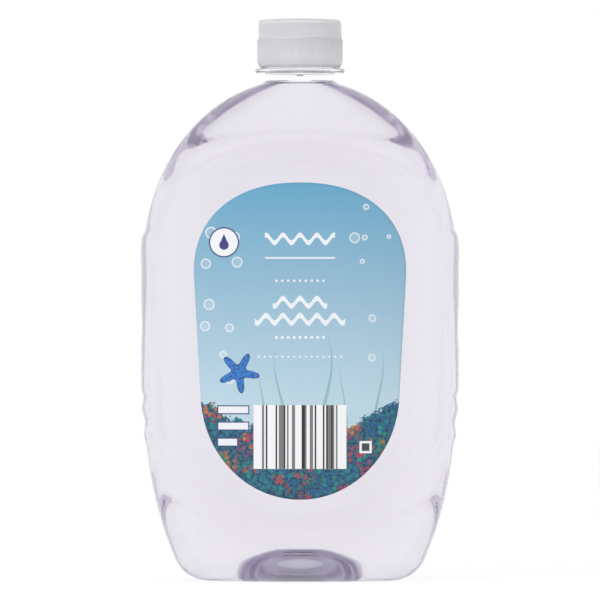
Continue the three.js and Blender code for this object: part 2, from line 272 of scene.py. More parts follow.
def baseRows(edge, count):
    # The underside from its middle out: a push-up, then the inner edge of the resting ring
    shares = np.linspace(0.03, 1, count)
    radius = np.hypot(edge[:, 0], edge[:, 1])
    rested = edge[:, :2] * ((radius - bottleShape["restingRing"]) / radius)[:, None]
    rows = []
    for share in shares:
        rise = bottleShape["pushUp"] * (1 - share ** bottleShape["pushUpPower"])
        rows.append(np.column_stack([rested * share, np.full(len(edge), rise)]))
    return np.array(rows)


def bodyRows(angles, count, cornerRows, baseCount):
    walls = bodyPoints(angles, bodyHeights(count, cornerRows))
    return np.concatenate([baseRows(walls[0], baseCount), walls])


def surfaceNormals(rows):
    along = np.gradient(rows, axis=0)
    wrapped = np.concatenate([rows[:, -1:], rows, rows[:, :1]], axis=1)
    around = (wrapped[:, 2:] - wrapped[:, :-2]) / 2
    normal = np.cross(around, along)
    return normal / np.maximum(np.linalg.norm(normal, axis=-1, keepdims=True), 1e-9)


def wallThickness(rows):
    shape = bottleShape
    return mix(shape["baseWall"], shape["wall"], smooth(0, shape["baseWallFade"], rows[:, 0, 2]))


def insetRows(rows, depth):
    # The same rows moved inwards, square to the surface. depth is a number or one for each row.
    return rows - surfaceNormals(rows) * np.reshape(depth, (-1, 1, 1))


def circleRows(angles, outline):
    radius, height = np.asarray(outline, float).T
    return np.stack(
        [
            radius[:, None] * np.cos(angles),
            radius[:, None] * np.sin(angles),
            height[:, None] + 0 * angles,
        ],
        axis=-1,
    )


def softOutline(corners, steps=5, spacing=1.0):
    # An outline of radius and height whose corners are rounded: each corner is (radius, height, round)
    points = []
    for place, (radius, height, rounding) in enumerate(corners):
        here = np.array([radius, height], float)
        if rounding == 0 or place in (0, len(corners) - 1):
            points.append(here)
            continue
        before = np.array(corners[place - 1][:2], float)
        after = np.array(corners[place + 1][:2], float)
        start = here + (before - here) / np.linalg.norm(before - here) * rounding
        end = here + (after - here) / np.linalg.norm(after - here) * rounding
        for share in np.linspace(0, 1, steps):
            points.append((1 - share) ** 2 * start + 2 * share * (1 - share) * here + share**2 * end)
    dense = [points[0]]
    for point in points[1:]:
        pieces = max(1, round(np.linalg.norm(point - dense[-1]) / spacing))
        first = dense[-1]
        dense += [first + (point - first) * step / pieces for step in range(1, pieces + 1)]
    return np.array(dense)


def threadHeight(angles, heights, bottom):
    # How far the thread stands out, from 0 to 1, at each height and angle of a wall
    shape = neckShape
    turns = shape["threadTurns"]
    pitch = shape["threadPitch"]
    angle = np.mod(angles[None, :], 2 * np.pi)
    height = np.asarray(heights)[:, None]
    stand = np.zeros((len(heights), len(angles)))
    for turn in range(math.ceil(turns)):
        share = (angle / (2 * np.pi) + turn) / turns
        middle = bottom + share * turns * pitch
        away = np.abs(height - middle)
        flank = 1 - smooth(shape["threadCrest"] / 2, shape["threadRoot"] / 2, away)
        fade = smooth(0, shape["threadFade"], share) * smooth(0, shape["threadFade"], 1 - share)
        stand = np.maximum(stand, flank * fade * (share <= 1))
    return stand


def pushOut(rows, amount):
    # Moves rows of a turned surface outwards by an amount in millimetres
    radius = np.hypot(rows[..., 0], rows[..., 1])
    moved = rows.copy()
    scale = (radius + amount) / np.maximum(radius, 1e-9)
    moved[..., 0] *= scale
    moved[..., 1] *= scale
    return moved


def makeSkin(name, rows):
    # A closed smooth mesh through rows of points, each end closed by a fan
    rowCount, columnCount = rows.shape[:2]
    ends = np.array([rows[0].mean(axis=0), rows[-1].mean(axis=0)])
    vertices = np.concatenate([rows.reshape(-1, 3), ends]) * mm
    row = np.arange(rowCount - 1)[:, None] * columnCount
    column = np.arange(columnCount)[None, :]
    following = (column + 1) % columnCount
    quads = np.stack(
        [
            row + column,
            row + following,
            row + following + columnCount,
            row + column + columnCount,
        ],
        axis=-1,
    ).reshape(-1, 4)
    place = np.arange(columnCount)
    after = (place + 1) % columnCount
    low = np.full(columnCount, rowCount * columnCount)
    last = (rowCount - 1) * columnCount
    fans = np.concatenate(
        [
            np.column_stack([low, after, place]),
            np.column_stack([low + 1, last + place, last + after]),
        ]
    )
    mesh = bpy.data.meshes.new(name)
    mesh.from_pydata(vertices.tolist(), [], quads.tolist() + fans.tolist())
    mesh.update()
    mesh.polygons.foreach_set("use_smooth", [True] * len(mesh.polygons))
    piece = bpy.data.objects.new(name, mesh)
    bpy.context.scene.collection.objects.link(piece)
    return piece


def finishPiece(piece, body, node, slot, *materials):
    for material in materials:
        piece.data.materials.append(material)
    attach(piece, body)
    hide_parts(node)


# Short forms for building materials
def newMaterial(name):
    material = bpy.data.materials.new(name)
    material.use_nodes = True
    return material, material.node_tree, material.node_tree.nodes["Principled BSDF"]


def mathNode(tree, operation, first, second=None, third=None):
    node = tree.nodes.new("ShaderNodeMath")
    node.operation = operation
    for socket, value in zip(node.inputs, (first, second, third)):
        if value is None:
            continue
        if isinstance(value, (int, float)):
            socket.default_value = value
        else:
            tree.links.new(value, socket)
    return node.outputs[0]


def rangeNode(tree, value, low, high, toLow=0.0, toHigh=1.0):
    node = tree.nodes.new("ShaderNodeMapRange")
    node.interpolation_type = "SMOOTHSTEP"
    node.inputs["From Min"].default_value = low
    node.inputs["From Max"].default_value = high
    node.inputs["To Min"].default_value = toLow
    node.inputs["To Max"].default_value = toHigh
    tree.links.new(value, node.inputs["Value"])
    return node.outputs["Result"]


def noiseNode(tree, vector, scale, detail=3.0, roughness=0.5):
    node = tree.nodes.new("ShaderNodeTexNoise")
    node.inputs["Scale"].default_value = scale
    node.inputs["Detail"].default_value = detail
    node.inputs["Roughness"].default_value = roughness
    tree.links.new(vector, node.inputs["Vector"])
    return node.outputs["Fac"]


def bumpNode(tree, shader, height, strength, distance):
    node = tree.nodes.new("ShaderNodeBump")
    node.inputs["Strength"].default_value = strength
    node.inputs["Distance"].default_value = distance
    tree.links.new(height, node.inputs["Height"])
    tree.links.new(node.outputs["Normal"], shader.inputs["Normal"])


def objectPlace(tree):
    return tree.nodes.new("ShaderNodeTexCoord").outputs["Object"]


def tintDepth(tree, look):
    # Light loses its colour along its way through the material
    volume = tree.nodes.new("ShaderNodeVolumeAbsorption")
    volume.inputs["Color"].default_value = look["tint"]
    volume.inputs["Density"].default_value = look["tintDensity"]
    tree.links.new(volume.outputs[0], tree.nodes["Material Output"].inputs["Volume"])


def mixColour(tree, share, first, second):
    node = tree.nodes.new("ShaderNodeMix")
    node.data_type = "RGBA"
    for socket, value in ((node.inputs[0], share), (node.inputs[6], first), (node.inputs[7], second)):
        if isinstance(value, (tuple, float, int)):
            socket.default_value = value
        else:
            tree.links.new(value, socket)
    return node.outputs[2]


# Clear bottle
clearPet = {
    "colour": (0.99, 0.985, 1, 1),
    "refraction": 1.57,
    "filledRefraction": 1.38,  # a thin wall with liquid behind it bends light as the liquid does
    "wettedSeen": 0.04,  # the inner face of the wall hardly shows where the liquid touches it
    "roughness": 0.004,
    "wobbleScale": 26,
    "wobbleHeight": 0.0001,
}


def clearPetMaterial(name, refraction, seen=1.0):
    material, tree, shader = newMaterial(name)
    shader.inputs["Base Color"].default_value = clearPet["colour"]
    shader.inputs["IOR"].default_value = refraction
    shader.inputs["Transmission Weight"].default_value = 1
    shader.inputs["Alpha"].default_value = seen
    place = objectPlace(tree)
    cloud = noiseNode(tree, place, 60, 2)
    roughness = rangeNode(tree, cloud, 0.3, 0.7, 0, 2 * clearPet["roughness"])
    tree.links.new(roughness, shader.inputs["Roughness"])
    wobble = noiseNode(tree, place, clearPet["wobbleScale"], 1.5)
    bumpNode(tree, shader, wobble, 0.25, clearPet["wobbleHeight"])
    return material


def neckOutline():
    # Up the outside of the neck, over its ring and lip, and down the bore
    radius = neckShape["radius"]
    ring = neckShape["ringRadius"]
    edge = neckShape["edgeRound"]
    return softOutline(
        [
            (radius, bottleShape["neckHeight"] + 0.6, 0),
            (radius, ringBottom, neckShape["ringRootRound"]),
            (ring, ringBottom, edge),
            (ring, ringTop, edge),
            (radius, ringTop, neckShape["threadRootRound"]),
            (radius, mouthHeight, edge),
            (boreRadius, mouthHeight, edge),
            (boreRadius, bottleShape["neckHeight"] - 0.2, 0),
        ],
        spacing=neckShape["pointSpacing"],
    )


def buildBottle():
    shape = bottleShape
    angles = evenAngles(shape["columns"])
    body = bodyRows(angles, shape["wallRows"], shape["cornerRows"], shape["baseRows"])
    outline = neckOutline()
    neck = circleRows(angles, outline)
    onWall = np.abs(outline[:, 0] - neckShape["radius"]) < 0.05
    thread = threadHeight(angles, outline[:, 1], neckThreadBottom) * onWall[:, None]
    neck = pushOut(neck, thread * neckShape["threadDepth"])
    fromLug = np.abs(neckShape["radius"] * (angles - 1.5 * np.pi))[None, :]
    lugHalf = neckShape["lugWidth"] / 2
    lugRound = neckShape["lugRound"]
    isOutside = outline[:, 0] > neckShape["radius"] - 0.05
    isUnderRing = (outline[:, 1] > ringBottom - neckShape["lugHeight"]) & (outline[:, 1] < ringBottom)
    lug = 1 - smooth(lugHalf - lugRound, lugHalf + lugRound, fromLug)
    neck = pushOut(neck, (isUnderRing & isOutside)[:, None] * lug * neckShape["lugDepth"])
    coarse = body[::2]
    inner = insetRows(coarse, wallThickness(coarse))[::-1]
    piece = makeSkin("bottle_shell", np.concatenate([body, neck, inner]))
    finishPiece(
        piece,
        "bottle",
        "bottle",
        "clear_bottle",
        clearPetMaterial("clear PET over liquid", clearPet["filledRefraction"]),
        clearPetMaterial("clear PET of the neck", clearPet["refraction"]),
        clearPetMaterial("wetted inner wall", clearPet["filledRefraction"], clearPet["wettedSeen"]),
    )
    rowSlots = np.repeat([0, 1, 2], [len(body), len(neck), len(inner) - 1])
    quadSlots = np.repeat(rowSlots, len(angles))
    fanSlots = np.repeat([0, 2], len(angles))
    piece.data.polygons.foreach_set("material_index", np.concatenate([quadSlots, fanSlots]))


buildBottle()
print("bottle shell done")


# Liquid soap
soapLook = {
    "fillHeight": 220.6,
    "overlap": 0.12,  # the liquid reaches this far into the wall, so no film of air shows between them
    "refraction": 1.36,
    "colour": (0.82, 0.78, 0.88, 1),
    "surfaceSeen": 0.04,  # its skin hardly shows behind the wall that it wets
    "roughness": 0.02,
    "rippleScale": 18,
    "rippleHeight": 0.0001,
    "tint": (0.2, 0.09, 0.36, 1),
    "tintDensity": 4,
    "columns": 200,
    "wallRows": 120,
    "cornerRows": 8,
    "baseRows": 14,
}


def soapMaterial():
    material, tree, shader = newMaterial("liquid soap")
    shader.inputs["Base Color"].default_value = soapLook["colour"]
    shader.inputs["IOR"].default_value = soapLook["refraction"]
    shader.inputs["Transmission Weight"].default_value = 1
    shader.inputs["Alpha"].default_value = soapLook["surfaceSeen"]
    shader.inputs["Roughness"].default_value = soapLook["roughness"]
    ripple = noiseNode(tree, objectPlace(tree), soapLook["rippleScale"], 1)
    bumpNode(tree, shader, ripple, 0.1, soapLook["rippleHeight"])
    tintDepth(tree, soapLook)
    return material


def buildSoap():
    look = soapLook
    angles = evenAngles(look["columns"])
    body = bodyRows(angles, look["wallRows"], look["cornerRows"], look["baseRows"])
    rows = insetRows(body, wallThickness(body) - look["overlap"])
    rows[..., 2] = np.minimum(rows[..., 2], look["fillHeight"])
    piece = makeSkin("liquid_fill", rows)
    finishPiece(piece, "bottle", "hand_soap", "liquid_soap", soapMaterial())


buildSoap()
print("liquid done")


# Front label. The print is laid out in millimetres across from the middle and up from the ground.
labelLook = {
    "thickness": 0.1,
    "lift": 0.04,
    "columns": 220,
    "rings": 36,
    "innermost": 0.02,  # size of the smallest ring, as a share of the outline
    "roughness": 0.38,
    "grainScale": 0.9,
    "grainHeight": 0.00005,
    "edge": 0.15,  # a printed edge softens this far to each side
    "sky": [
        (80, (0.52, 0.69, 0.77, 1)),
        (133, (0.29, 0.5, 0.64, 1)),
        (177, (0.12, 0.38, 0.56, 1)),
    ],
    "white": (0.88, 0.9, 0.92, 1),
    "blockWhite": (0.95, 0.95, 0.95, 1),
    "navy": (0.035, 0.045, 0.2, 1),
    "bubbles": {
        "cell": 13,
        "smallest": 0.05,  # radii and the line's width are shares of a cell
        "spread": 0.13,
        "lineOuter": 0.034,
        "lineInner": 0.012,
        "fill": 0.22,
        "emptyCells": 0.45,
        "clearHalf": 24,  # the label's middle has no bubbles
        "strength": 0.8,
    },
    "weeds": {
        "colour": (0.16, 0.42, 0.36, 1),
        "foot": 58,
        "wave": 26,
        "edge": 0.2,
        "strength": 0.62,
        # Place at the foot, height of the tip, sway, width at the foot
        "blades": [
            (-17, 96, 1.6, 0.9),
            (-9, 104, 2.2, 1.1),
            (12, 110, -2.0, 1.3),
            (19, 97, 1.5, 0.8),
            (35, 104, -1.8, 1.1),
        ],
    },
    "reef": {
        "height": 52,
        "sideRise": 16,
        "sideReach": 44,
        "sidePower": 1.5,
        "moundRise": 18,
        "moundScale": 0.14,
        "bushRise": 7,
        "bushScale": 0.9,
        "edge": 0.6,
        "growthScale": 0.42,
        "patchScale": 0.11,
        "groundDark": (0.01, 0.03, 0.1, 1),
        "groundLight": (0.02, 0.16, 0.22, 1),
        "tints": [
            (0.0, (0.02, 0.22, 0.3, 1)),
            (0.45, (0.01, 0.12, 0.32, 1)),
            (0.53, (0.02, 0.3, 0.22, 1)),
            (0.6, (0.45, 0.06, 0.05, 1)),
            (0.66, (0.55, 0.03, 0.12, 1)),
            (0.71, (0.62, 0.2, 0.03, 1)),
            (0.77, (0.05, 0.28, 0.1, 1)),
        ],
    },
    "seaStar": {
        "place": (-27, 93),
        "size": 9.5,
        "bodyShare": 0.38,
        "armShare": 0.6,
        "armTaper": 1.7,
        "turn": 0.9,
        "spotScale": 0.62,
        "spotStrength": 0.75,
        "colour": (0.03, 0.2, 0.6, 1),
        "dark": (0.02, 0.06, 0.22, 1),
    },
    # Waves in white: height of the line, half its length, half its thickness
    "waves": [(152, 15.5, 0.85), (124, 12, 0.95), (116.5, 20, 0.95)],
    "waveLength": 7.5,
    "waveRise": 1.7,
    "waveEdge": 0.5,
    # Rows of dots in white: height, half length, radius
    "dotRows": [(133.5, 12.5, 0.55), (108.5, 12, 0.7), (100, 20, 0.45)],
    "dotSpacing": 2.6,
    # Blocks: middle across and up, half width, half height
    "rule": (0, 143.6, 15.5, 0.35),
    "lines": [(-29.5, 76.5, 6.6, 1.5), (-29.5, 69.3, 6.6, 1.5), (-32.0, 62.2, 4.2, 1.5)],
    "lineBorder": 0.5,
    "tile": (29, 60, 2.7, 2.7),
    "tileBorder": 1,
    "tileDark": (0.06, 0.06, 0.07, 1),
    "barBlock": (0, 64.5, 20.5, 14.1),
    "barReach": 16.8,
    "barPitch": 0.72,
    "barTurn": 12.99,  # these two only scatter the bars
    "barScatter": 43.7,
    "darkFrom": 0.52,
    "blackFrom": 0.75,
    "barGrey": (0.2, 0.2, 0.2, 1),
    "barBlack": (0.02, 0.02, 0.02, 1),
    "badge": {
        "place": (-33.6, 150.5),
        "radius": 6.7,
        "rim": 0.6,
        "margin": 1.2,
        "dropRadius": 2.1,
        "dropBelow": 1.2,
        "tipAbove": 3.8,
        "tipSlope": 0.42,
        "tipStart": 0.4,
    },
}


def minus(tree, first, second):
    return mathNode(tree, "SUBTRACT", first, second)


def times(tree, first, second):
    return mathNode(tree, "MULTIPLY", first, second)


def scaled(tree, value, factor, added):
    return mathNode(tree, "MULTIPLY_ADD", value, factor, added)


def sizeOf(tree, value):
    return mathNode(tree, "ABSOLUTE", value)


def distanceNode(tree, place, middle):
    node = tree.nodes.new("ShaderNodeVectorMath")
    node.operation = "DISTANCE"
    node.inputs[1].default_value = (*middle, 0)
    tree.links.new(place, node.inputs[0])
    return node.outputs["Value"]


def printedWithin(tree, away, limit=0.0):
    # 1 where away is below the limit and 0 above it, with a slightly soft edge
    edge = labelLook["edge"]
    return rangeNode(tree, away, limit + edge, limit - edge)


def discShare(tree, place, middle, radius):
    return printedWithin(tree, distanceNode(tree, place, middle), radius)


def fromMiddle(tree, value, middle, half):
    # How far a place lies beyond a stretch, below 0 inside it
    return minus(tree, sizeOf(tree, minus(tree, value, middle)), half)


def boxShare(tree, across, up, box, border=0):
    x, z, halfX, halfZ = box
    besideBox = fromMiddle(tree, across, x, halfX + border)
    aboveBox = fromMiddle(tree, up, z, halfZ + border)
    return printedWithin(tree, mathNode(tree, "MAXIMUM", besideBox, aboveBox))


def cellNode(tree, vector, scale):
    node = tree.nodes.new("ShaderNodeTexVoronoi")
    node.voronoi_dimensions = "2D"
    node.inputs["Scale"].default_value = scale
    tree.links.new(vector, node.inputs["Vector"])
    return node


def splitColour(tree, colour):
    node = tree.nodes.new("ShaderNodeSeparateColor")
    tree.links.new(colour, node.inputs[0])
    return node.outputs


def rampNode(tree, value, stops, low=0.0, high=1.0, steps=False):
    ramp = tree.nodes.new("ShaderNodeValToRGB")
    ramp.color_ramp.interpolation = "CONSTANT" if steps else "LINEAR"
    for number, (place, colour) in enumerate(stops):
        share = (place - low) / (high - low)
        if number < 2:
            stop = ramp.color_ramp.elements[number]
            stop.position = share
        else:
            stop = ramp.color_ramp.elements.new(share)
        stop.color = colour
    tree.links.new(value, ramp.inputs[0])
    return ramp.outputs[0]


def skyColour(tree, up):
    low = labelLook["sky"][0][0]
    high = labelLook["sky"][-1][0]
    share = mathNode(tree, "DIVIDE", minus(tree, up, low), high - low)
    return rampNode(tree, share, labelLook["sky"], low, high)


def paintBubbles(tree, colour, place):
    # One ring in some cells of a loose grid, each of its own size
    look = labelLook["bubbles"]
    cells = cellNode(tree, place, 1 / look["cell"])
    pick = splitColour(tree, cells.outputs["Color"])
    radius = scaled(tree, pick["Red"], look["spread"], look["smallest"])
    away = minus(tree, cells.outputs["Distance"], radius)
    ring = rangeNode(tree, sizeOf(tree, away), look["lineOuter"], look["lineInner"])
    inside = times(tree, rangeNode(tree, away, 0.01, -0.02), look["fill"])
    seen = mathNode(tree, "GREATER_THAN", pick["Green"], look["emptyCells"])
    middle = tree.nodes.new("ShaderNodeSeparateXYZ")
    tree.links.new(cells.outputs["Position"], middle.inputs[0])
    aside = mathNode(tree, "GREATER_THAN", sizeOf(tree, middle.outputs["X"]), look["clearHalf"])
    bubble = mathNode(tree, "MAXIMUM", ring, inside)
    share = times(tree, times(tree, seen, aside), bubble)
    return mixColour(tree, times(tree, share, look["strength"]), colour, labelLook["white"])


def paintWeeds(tree, colour, across, up):
    look = labelLook["weeds"]
    foot = look["foot"]
    turn = mathNode(tree, "DIVIDE", minus(tree, up, foot), look["wave"] / math.pi)
    swing = mathNode(tree, "SINE", turn)
    for x, tip, sway, width in look["blades"]:
        away = sizeOf(tree, minus(tree, across, scaled(tree, swing, sway, x)))
        half = times(tree, minus(tree, tip, up), width / (tip - foot))
        share = rangeNode(tree, minus(tree, away, half), look["edge"], -look["edge"])
        share = times(tree, share, mathNode(tree, "LESS_THAN", up, tip))
        colour = mixColour(tree, times(tree, share, look["strength"]), colour, look["colour"])
    return colour


def paintReef(tree, colour, place, across, up):
    # Patches of small round growths over a dark ground, higher towards the label's sides
    look = labelLook["reef"]
    mounds = noiseNode(tree, place, look["moundScale"], 3)
    bushes = noiseNode(tree, place, look["bushScale"], 2)
    beside = mathNode(tree, "DIVIDE", sizeOf(tree, across), look["sideReach"])
    slope = mathNode(tree, "POWER", beside, look["sidePower"])
    top = scaled(tree, slope, look["sideRise"], look["height"])
    top = scaled(tree, mounds, look["moundRise"], top)
    top = scaled(tree, bushes, look["bushRise"], top)
    share = rangeNode(tree, minus(tree, up, top), look["edge"], -look["edge"])
    bushy = rangeNode(tree, bushes, 0.35, 0.65)
    ground = mixColour(tree, bushy, look["groundDark"], look["groundLight"])
    growths = cellNode(tree, place, look["growthScale"])
    pick = splitColour(tree, growths.outputs["Color"])
    patches = cellNode(tree, place, look["patchScale"])
    kind = scaled(tree, splitColour(tree, patches.outputs["Color"])["Blue"], 0.45, 0.3)
    kind = scaled(tree, pick["Red"], 0.1, kind)
    tint = rampNode(tree, kind, look["tints"], steps=True)
    body = rangeNode(tree, growths.outputs["Distance"], 0.62, 0.2)
    lit = times(tree, body, scaled(tree, pick["Green"], 0.5, 0.5))
    lit = times(tree, lit, rangeNode(tree, patches.outputs["Distance"], 0.75, 0.3, 0.25, 1))
    return mixColour(tree, share, colour, mixColour(tree, lit, ground, tint))


def paintSeaStar(tree, colour, place, across, up):
    # Five blunt arms with darker spots
    look = labelLook["seaStar"]
    x, z = look["place"]
    turn = mathNode(tree, "ARCTAN2", minus(tree, up, z), minus(tree, across, x))
    wave = mathNode(tree, "COSINE", scaled(tree, turn, 5, look["turn"]))
    arms = mathNode(tree, "POWER", scaled(tree, wave, 0.5, 0.5), look["armTaper"])
    size = look["size"]
    edge = scaled(tree, arms, look["armShare"] * size, look["bodyShare"] * size)
    away = minus(tree, distanceNode(tree, place, look["place"]), edge)
    spots = rangeNode(tree, cellNode(tree, place, look["spotScale"]).outputs["Distance"], 0.42, 0.2)
    skin = mixColour(tree, times(tree, spots, look["spotStrength"]), look["colour"], look["dark"])
    skin = mixColour(tree, rangeNode(tree, away, -0.9, -0.3), skin, look["dark"])
    return mixColour(tree, printedWithin(tree, away), colour, skin)


def paintWhites(tree, colour, across, up):
    # Waves, rows of dots and a rule stand where a label has its wording
    share = boxShare(tree, across, up, labelLook["rule"])
    turns = times(tree, across, 2 * math.pi / labelLook["waveLength"])
    wave = mathNode(tree, "COSINE", turns)
    for height, half, thick in labelLook["waves"]:
        lift = minus(tree, up, scaled(tree, wave, labelLook["waveRise"], height))
        line = rangeNode(tree, sizeOf(tree, lift), thick + labelLook["waveEdge"], thick)
        within = printedWithin(tree, fromMiddle(tree, across, 0, half))
        share = mathNode(tree, "MAXIMUM", share, times(tree, line, within))
    spacing = labelLook["dotSpacing"]
    beside = mathNode(tree, "PINGPONG", mathNode(tree, "ADD", across, spacing / 2), spacing / 2)
    beside = minus(tree, spacing / 2, beside)
    for height, half, radius in labelLook["dotRows"]:
        rise = minus(tree, up, height)
        squares = mathNode(tree, "ADD", times(tree, rise, rise), times(tree, beside, beside))
        dot = printedWithin(tree, mathNode(tree, "SQRT", squares), radius)
        within = rangeNode(tree, fromMiddle(tree, across, 0, half), 0.1, -0.1)
        share = mathNode(tree, "MAXIMUM", share, times(tree, dot, within))
    return mixColour(tree, share, colour, labelLook["white"])


def paintBadge(tree, colour, place, across, up):
    # A white disc with a rim and a drop in it
    look = labelLook["badge"]
    middle = look["place"]
    x, z = middle
    radius = look["radius"]
    colour = mixColour(tree, discShare(tree, place, middle, radius), colour, labelLook["navy"])
    disc = discShare(tree, place, middle, radius - look["rim"])
    colour = mixColour(tree, disc, colour, labelLook["white"])
    drop = discShare(tree, place, (x, z - look["dropBelow"]), look["dropRadius"])
    half = times(tree, minus(tree, z + look["tipAbove"], up), look["tipSlope"])
    away = minus(tree, sizeOf(tree, minus(tree, across, x)), half)
    tip = rangeNode(tree, away, 0.1, -0.1)
    tip = times(tree, tip, mathNode(tree, "GREATER_THAN", up, z - look["tipStart"]))
    drop = mathNode(tree, "MAXIMUM", drop, tip)
    inside = discShare(tree, place, middle, radius - look["margin"])
    return mixColour(tree, times(tree, drop, inside), colour, labelLook["navy"])


def paintBlocks(tree, colour, across, up):
    # Three short lines, a white block of plain upright bars and a small square tile
    for line in labelLook["lines"]:
        border = boxShare(tree, across, up, line, labelLook["lineBorder"])
        colour = mixColour(tree, border, colour, labelLook["navy"])
        colour = mixColour(tree, boxShare(tree, across, up, line), colour, labelLook["white"])
    block = labelLook["barBlock"]
    colour = mixColour(tree, boxShare(tree, across, up, block), colour, labelLook["blockWhite"])
    column = mathNode(tree, "FLOOR", mathNode(tree, "DIVIDE", across, labelLook["barPitch"]))
    turn = mathNode(tree, "SINE", times(tree, column, labelLook["barTurn"]))
    scatter = mathNode(tree, "FRACT", times(tree, turn, labelLook["barScatter"]))
    isDark = mathNode(tree, "GREATER_THAN", scatter, labelLook["darkFrom"])
    isBlack = mathNode(tree, "GREATER_THAN", scatter, labelLook["blackFrom"])
    tone = mixColour(tree, isBlack, labelLook["barGrey"], labelLook["barBlack"])
    field = boxShare(tree, across, up, (block[0], block[1], labelLook["barReach"], block[3]))
    colour = mixColour(tree, times(tree, isDark, field), colour, tone)
    tile = labelLook["tile"]
    colour = mixColour(tree, boxShare(tree, across, up, tile), colour, labelLook["blockWhite"])
    middle = boxShare(tree, across, up, tile, -labelLook["tileBorder"])
    return mixColour(tree, middle, colour, labelLook["tileDark"])


def labelMaterial():
    material, tree, shader = newMaterial("printed film")
    split = tree.nodes.new("ShaderNodeSeparateXYZ")
    tree.links.new(objectPlace(tree), split.inputs[0])
    across = mathNode(tree, "DIVIDE", split.outputs["X"], mm)
    up = mathNode(tree, "DIVIDE", split.outputs["Z"], mm)
    join = tree.nodes.new("ShaderNodeCombineXYZ")
    tree.links.new(across, join.inputs["X"])
    tree.links.new(up, join.inputs["Y"])
    place = join.outputs[0]
    colour = skyColour(tree, up)
    colour = paintBubbles(tree, colour, place)
    colour = paintWeeds(tree, colour, across, up)
    colour = paintReef(tree, colour, place, across, up)
    colour = paintSeaStar(tree, colour, place, across, up)
    colour = paintWhites(tree, colour, across, up)
    colour = paintBadge(tree, colour, place, across, up)
    colour = paintBlocks(tree, colour, across, up)
    tree.links.new(colour, shader.inputs["Base Color"])
    shader.inputs["Roughness"].default_value = labelLook["roughness"]
    grain = noiseNode(tree, place, labelLook["grainScale"], 2)
    bumpNode(tree, shader, grain, 0.05, labelLook["grainHeight"])
    return material


def labelOutline(count):
    # The label's edge as points across and up, starting at its right
    shape = panelShape
    angle = np.arange(count) / count * 2 * np.pi
    power = 2 / shape["upperPower"]
    upperX = shape["width"] / 2 * signedPower(np.cos(angle), power)
    upperZ = upperMiddle + shape["upperArc"] * np.abs(np.sin(angle)) ** power
    lowerX = shape["lowerWidth"] / 2 * np.cos(angle)
    lowerZ = lowerMiddle - shape["lowerArc"] * np.abs(np.sin(angle))
    isUpper = angle <= np.pi
    return np.where(isUpper, upperX, lowerX), np.where(isUpper, upperZ, lowerZ)


def buildLabel():
    # Rings from the middle of the back out to the edge, and in again over the front
    edgeX, edgeZ = labelOutline(labelLook["columns"])
    middle = (lowerMiddle + upperMiddle) / 2
    rings = labelLook["rings"]
    growing = np.linspace(labelLook["innermost"], 1, rings)
    shrinking = np.linspace(1, labelLook["innermost"], rings)
    rows = []
    for number, share in enumerate(np.concatenate([growing, shrinking])):
        x = edgeX * share
        z = middle + (edgeZ - middle) * share
        out = labelLook["lift"] + (labelLook["thickness"] if number >= rings else 0)
        rows.append(np.column_stack([x, -(panelDepthAt(x) + out), z]))
    piece = makeSkin("label_film", np.array(rows)[:, ::-1])
    finishPiece(piece, "bottle", "front_label", "printed_film", labelMaterial())


buildLabel()
print("label done")


# Screw cap and its disc
capShape = {
    "wall": 1.4,
    "topThickness": 1.6,
    "topRadius": 18.45,
    "edgeRound": 1.5,
    "lift": 0.6,
    "bottomRadius": 17.95,
    "chamfer": 2.2,
    "bandHeight": 10.4,
    "bandStand": 0.45,
    "ribCount": 104,
    "ribDepth": 0.2,
    "ribFade": (-0.4, 0.8),  # the ribs run out between these places, measured up from the chamfer
    "columnsPerRib": 4,
    "pointSpacing": 0.5,
    "centreRadius": 0.4,
    "threadStand": 1.3,
    "threadSeat": 0.3,
    "height": 21.3,
    "bore": 17.2,
}

capLook = {
    "thick": (0.96, 0.96, 0.98, 1),
    "thin": (1, 1, 1, 1),
    "roughness": 0.24,
    "refraction": 1.25,
    "clearness": 0.62,
    "cloudScale": 220,
    "grainScale": 700,
    "grainHeight": 0.0001,
}


def capMaterial():
    material, tree, shader = newMaterial("natural moulded cap")
    place = objectPlace(tree)
    cloud = noiseNode(tree, place, capLook["cloudScale"], 2)
    colour = mixColour(tree, cloud, capLook["thick"], capLook["thin"])
    tree.links.new(colour, shader.inputs["Base Color"])
    shader.inputs["Roughness"].default_value = capLook["roughness"]
    shader.inputs["IOR"].default_value = capLook["refraction"]
    shader.inputs["Transmission Weight"].default_value = capLook["clearness"]
    grain = noiseNode(tree, place, capLook["grainScale"], 2)
    bumpNode(tree, shader, grain, 0.08, capLook["grainHeight"])
    return material


